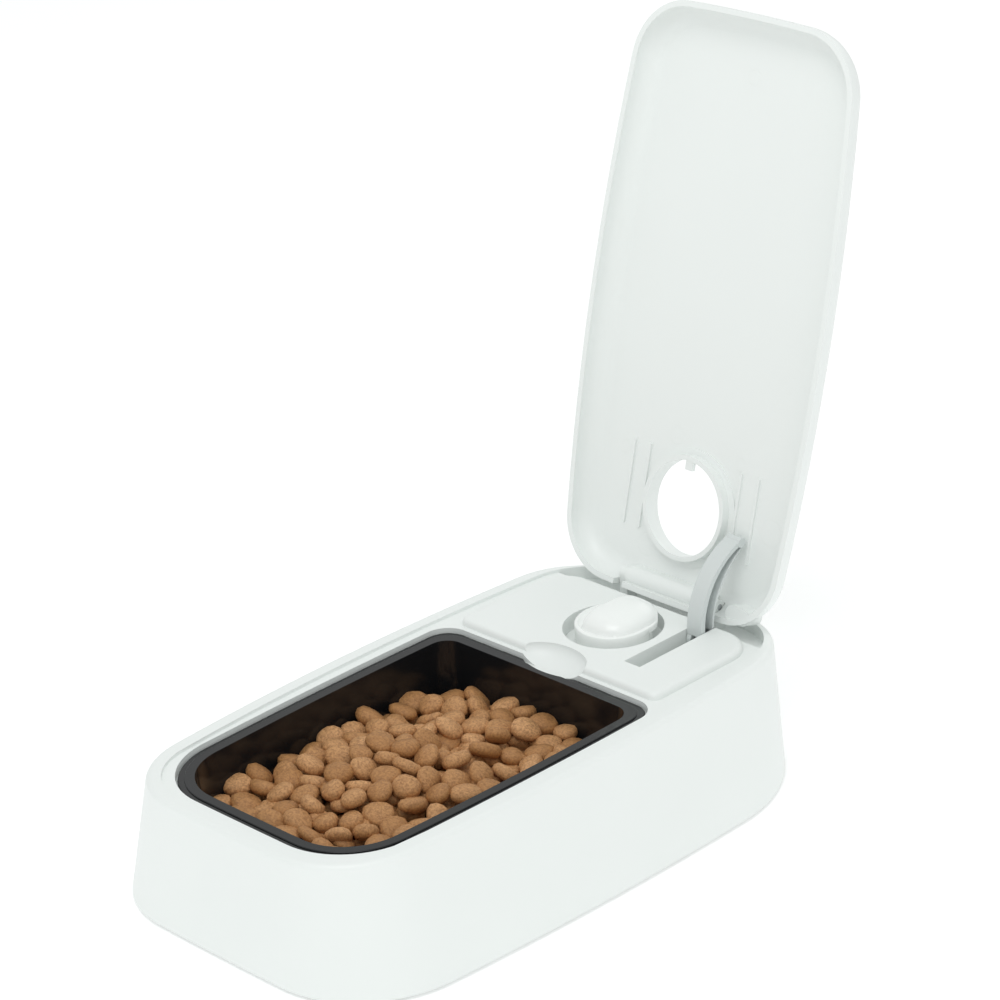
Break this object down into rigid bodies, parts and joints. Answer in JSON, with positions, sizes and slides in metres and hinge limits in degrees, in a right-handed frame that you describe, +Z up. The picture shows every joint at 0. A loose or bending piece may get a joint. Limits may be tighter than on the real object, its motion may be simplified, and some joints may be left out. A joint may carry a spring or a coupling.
{
  "type": "automatic pet feeder",
  "caption": "Timed one-meal pet feeder: a dark bowl in a low white base under a long dished lid, hinged behind, that a sprung arm throws open when the dial runs down.",
  "frame": {"origin": "centre of the footprint of the whole feeder with its lid open, on the surface it stands on", "axes": "+Z up, +Y from the bowl towards the lid's hinge, +X to the right seen from the bowl's end"},
  "size_m": [0.1602, 0.3012, 0.2699],
  "materials": {
    "white_abs": "fine satin moulded",
    "white_gloss": "smooth moulded",
    "grey_abs": "satin moulded",
    "dark_bowl": "glossy moulded",
    "grey_rubber": "soft matt",
    "plated_steel": "zinc plated",
    "spring_steel": "drawn wire and strip",
    "natural_acetal": "moulded, unfilled",
    "magnet_black": "bonded ferrite",
    "soft_iron": "stamped",
    "coil_copper": "enamelled winding",
    "board_green": "lacquered laminate",
    "can_bright": "drawn can",
    "case_grey": "moulded",
    "cell_jacket": "printed jacket without text"
  },
  "bodies": {
    "base": {"housing": "white_abs", "bottom_cover": "white_abs", "rubber_feet": "grey_rubber", "cover_screws": "plated_steel", "hinge_pin": "plated_steel", "arm_pin": "plated_steel", "wheel_arbors": "plated_steel", "motor_stator": "soft_iron", "motor_coil": "coil_copper", "circuit_board": "board_green", "quartz_crystal": "can_bright", "timer_case_lower": "case_grey", "timer_case_upper": "case_grey", "timer_screws": "plated_steel", "battery_cell": "cell_jacket", "contact_positive": "spring_steel", "contact_negative": "spring_steel"},
    "lid": {"lid": "white_abs"},
    "arm": {"lift_arm": "grey_abs", "arm_spring": "spring_steel"},
    "bowl": {"food_bowl": "dark_bowl"},
    "dial": {"timer_knob": "white_gloss", "knob_spindle": "plated_steel", "spindle_clip": "spring_steel", "clutch_washer": "spring_steel"},
    "output": {"output_wheel": "natural_acetal"},
    "reduction": {"reduction_wheel": "natural_acetal"},
    "rotor": {"rotor": "magnet_black"},
    "door": {"battery_door": "white_abs"}
  },
  "joints": [
    {"name": "lid_hinge", "type": "hinge", "parent": "base", "child": "lid", "pos_m": [0, 0.0862, 0.05385], "axis": [-1, 0, 0], "range_deg": [-106, 0]},
    {"name": "arm_pivot", "type": "hinge", "parent": "base", "child": "arm", "pos_m": [0.0278, 0.0725, 0.0466], "axis": [-1, 0, 0], "range_deg": [-112, 0]},
    {"name": "bowl_lift", "type": "slide", "parent": "base", "child": "bowl", "axis": [0, 0, 1], "range_m": [0, 0.06]},
    {"name": "dial_turn", "type": "hinge", "parent": "base", "child": "dial", "pos_m": [0, 0.0538, 0], "axis": [0, 0, 1], "range_deg": [-345, 0]},
    {"name": "output_turn", "type": "hinge", "parent": "base", "child": "output", "pos_m": [0, 0.0538, 0], "axis": [0, 0, 1], "continuous": true},
    {"name": "reduction_turn", "type": "hinge", "parent": "base", "child": "reduction", "pos_m": [-0.01359, 0.04746, 0], "axis": [0, 0, 1], "continuous": true},
    {"name": "rotor_turn", "type": "hinge", "parent": "base", "child": "rotor", "pos_m": [-0.02317, 0.0555, 0], "axis": [0, 0, 1], "continuous": true},
    {"name": "battery_door_off", "type": "slide", "parent": "base", "child": "door", "axis": [0, 0, -1], "range_m": [0, 0.02]}
  ],
  "couplings": [
    {"joint": "arm_pivot", "follows": "lid_hinge", "ratio": 1.036},
    {"joint": "reduction_turn", "follows": "output_turn", "ratio": -4},
    {"joint": "rotor_turn", "follows": "output_turn", "ratio": 16}
  ]
}
